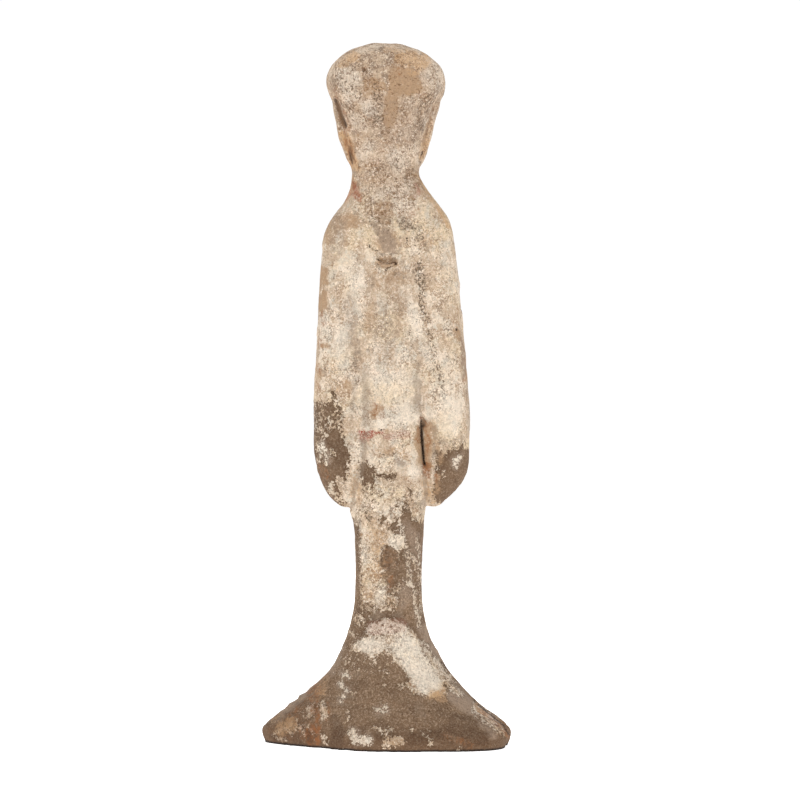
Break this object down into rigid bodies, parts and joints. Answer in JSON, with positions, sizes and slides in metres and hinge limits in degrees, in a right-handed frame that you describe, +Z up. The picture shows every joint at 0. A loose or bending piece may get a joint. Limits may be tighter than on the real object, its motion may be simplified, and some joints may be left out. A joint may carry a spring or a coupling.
{
  "type": "terracotta figure",
  "caption": "Standing court lady of fired clay with worn pale slip: low tied hair, hands joined in the cuffs, hanging sleeves, and a narrow skirt that spreads into a fishtail hem.",
  "frame": {"origin": "centre of the figure's footprint box, on the ground", "axes": "+Z up; she faces -Y; +X is her left side"},
  "size_m": [0.213, 0.1546, 0.598],
  "materials": {
    "slipped_clay": "matt grey-brown fired clay under a worn cream slip, with traces of red pigment and earth"
  },
  "bodies": {
    "root": {"court_lady_figure": "slipped_clay"}
  },
  "joints": []
}
